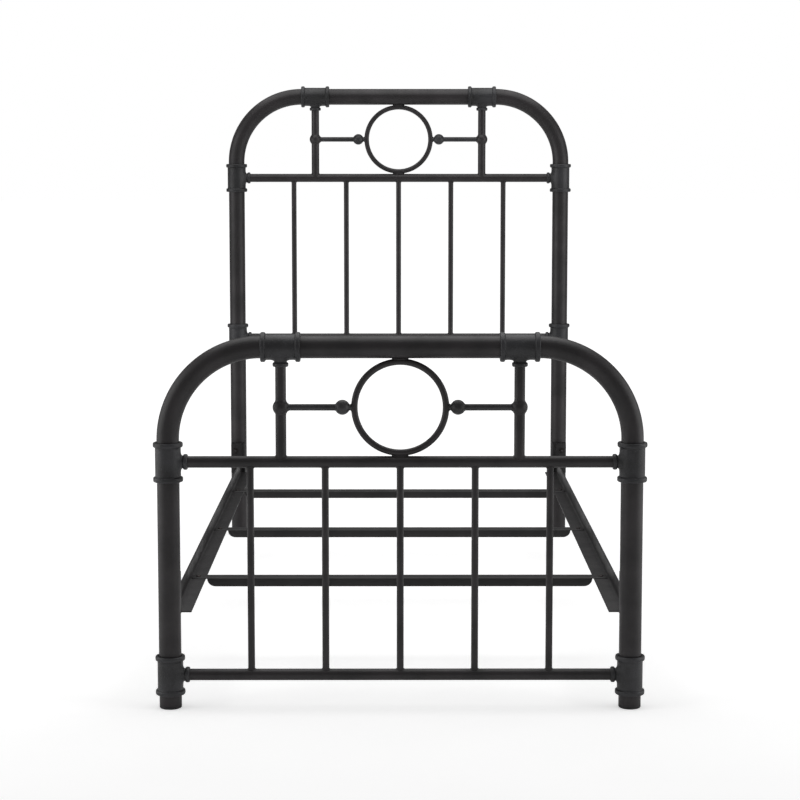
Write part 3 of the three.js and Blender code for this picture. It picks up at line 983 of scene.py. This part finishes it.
def slat_screw():
    """A button-head screw with a hexagonal socket, through a slat and a rail's flange to a nut below."""
    shank, head, edge, dome = 3 * MM, 6 * MM, 0.3 * MM, 2.9 * MM
    key, key_floor = 2 * MM, 1.2 * MM  # half across the socket's flats, and its floor
    arc = [radians(15 * k) for k in range(5)]
    rings = [(shank, 0, False, 0), (head, 0, False, 0)]
    rings += [(head * cos(a), edge + dome * sin(a), False, 0) for a in arc]
    rings += [
        (key + 0.3 * MM, 3.1 * MM, False, 0),
        (key, 3 * MM, True, 0),
        (key - 0.1 * MM, key_floor, True, 0),
    ]
    seat = -SLAT_THICKNESS - RAIL_THICKNESS
    flat, bore, base = 5 * MM, 3.1 * MM, seat - 5 * MM
    bevel, lip, chamfer = 0.3 * MM, 0.15 * MM, tan(radians(30))
    nut = [
        (bore, base, False, 0),
        (flat - bevel, base, False, 0),
        (flat, base + lip, True, chamfer),
        (flat, seat - lip, True, -chamfer),
        (flat - bevel, seat, False, 0),
        (bore, seat, False, 0),
    ]
    stem = turned([(shank - 0.4 * MM, seat - 8 * MM), (shank, seat - 7.4 * MM), (shank, 0.5 * MM)], 24)
    return joined([skin(fastener_loops(rings)), skin(fastener_loops(nut), closed=True), stem])


def make_fasteners():
    for end, facing in ENDS.items():
        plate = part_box("side_rail_left")[0 if facing > 0 else 1].y + facing * END_PLATE_THICKNESS
        places = [(sign, height) for sign in SIDES.values() for height in STUD["heights"]]
        points = [Vector((sign * STUD["x"], plate, height)) for sign, height in places]
        turn = (-facing * pi / 2, 0, 0)
        nuts = copied(nut_and_washer(), points, FASTENER, turn, 2 * pi, seed=3)
        finish_piece(f"{end}_rail_nuts", nuts, FASTENER, "black_steel")
    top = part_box("slat_2")[1].z
    places = [(sign, middle(f"slat_{i}").y) for sign in SIDES.values() for i in (1, 2, 3)]
    points = [Vector((sign * SLAT_SCREW_X, y, top)) for sign, y in places]
    screws = copied(slat_screw(), points, FASTENER, spin=2 * pi, seed=8)
    finish_piece("slat_screws", screws, FASTENER, "black_steel")


# ---- The bed ----
TEE = tee_mesh()
for end in ENDS:
    make_tubes(end)
    make_spindles(end)
    make_uprights(end)
    make_tie_rods(end)
    make_tees(end)
    make_glides(end)
    make_welds(end)
    make_brackets(end)
for side in SIDES:
    make_side_rail(side)
make_bracket_welds()
make_slats()
make_fasteners()


# ---- Floor, light and camera ----
def for_camera(tree, bed_sees, camera_sees):
    """A shader that the camera sees one way and that lights the bed another way."""
    seen = add(tree, "ShaderNodeLightPath").outputs["Is Camera Ray"]
    return add(tree, "ShaderNodeMixShader", {0: seen, 1: bed_sees, 2: camera_sees}).outputs[0]


def studio_floor():
    """A matt pale floor, lightly mottled. To the camera it glows too, more so far off, to hide its edge."""
    material, tree, place = new_material("pale_studio_floor")
    mottle = add(tree, "ShaderNodeTexNoise", {"Vector": place, "Scale": 3, "Detail": 4})
    tints = {"Factor": mottle.outputs["Fac"], "A": linear("#f2f2f2"), "B": linear("#f8f8f8")}
    colour = add(tree, "ShaderNodeMix", tints, data_type="RGBA")
    board = {"Color": colour.outputs[2], "Roughness": 0.9}
    plain = add(tree, "ShaderNodeBsdfDiffuse", board)
    far = add(tree, "ShaderNodeVectorMath", {0: place}, operation="LENGTH").outputs["Value"]
    spread = {"Value": far, "From Min": 1.5, "From Max": 6, "To Min": 0.48, "To Max": 0.85}
    strength = add(tree, "ShaderNodeMapRange", spread, interpolation_type="SMOOTHSTEP")
    glow = add(tree, "ShaderNodeEmission", {"Strength": strength.outputs["Result"]})
    glowing = add(tree, "ShaderNodeAddShader", {0: plain.outputs[0], 1: glow.outputs[0]})
    surface = for_camera(tree, plain.outputs[0], glowing.outputs[0])
    add(tree, "ShaderNodeOutputMaterial", {"Surface": surface})
    half = 40
    corners = [(-half, -half, 0), (half, -half, 0), (half, half, 0), (-half, half, 0)]
    mesh = bpy.data.meshes.new("floor")
    mesh.from_pydata(corners, [], [(0, 1, 2, 3)])
    mesh.materials.append(material)
    link("floor", mesh)


def studio_walls():
    """White walls, in softer light where they face the bed than where the camera sees them."""
    world = bpy.data.worlds.new("studio_walls")
    world.use_nodes = True
    tree = world.node_tree
    tree.nodes.clear()
    paint = {"Color": linear("#ffffff")}
    dim = add(tree, "ShaderNodeBackground", {**paint, "Strength": WALL_LIGHT})
    white = add(tree, "ShaderNodeBackground", {**paint, "Strength": 1})
    walls = for_camera(tree, dim.outputs[0], white.outputs[0])
    add(tree, "ShaderNodeOutputWorld", {"Surface": walls})
    bpy.context.scene.world = world


def softbox(name, at, target, width, height, brightness):
    """A soft rectangular panel. brightness is its radiance, where the white walls' is 1."""
    light = bpy.data.lights.new(name, "AREA")
    light.shape = "RECTANGLE"
    light.size, light.size_y = width, height
    light.energy = brightness * pi * width * height
    obj = bpy.data.objects.new(name, light)
    obj.location = at
    obj.rotation_euler = (Vector(target) - Vector(at)).to_track_quat("-Z", "Y").to_euler()
    obj.visible_camera = False
    bpy.context.scene.collection.objects.link(obj)


def studio():
    studio_floor()
    studio_walls()
    softbox("ceiling_panel", (0, 0.3, 3.6), (0, 0.3, 0), 4.5, 4.1, CEILING_LIGHT)
    for side, sign in SIDES.items():
        softbox(f"{side}_panel", (3.2 * sign, -0.9, 1.1), (0, -0.7, 0.8), 3.4, 2.6, SIDE_LIGHT)
    bpy.context.scene.view_settings.view_transform = "Standard"


def photographer():
    """A long lens beyond the foot of the bed, a little lower than the headboard's top and tipped down."""
    camera = bpy.data.cameras.new("camera")
    camera.lens = 92.2
    camera.shift_y = -0.05
    obj = bpy.data.objects.new("camera", camera)
    obj.location = (-0.011, -5.307, 1.206)
    obj.rotation_euler = (radians(90 - 5.98), 0, radians(-0.14))
    bpy.context.scene.collection.objects.link(obj)
    bpy.context.scene.camera = obj


studio()
photographer()
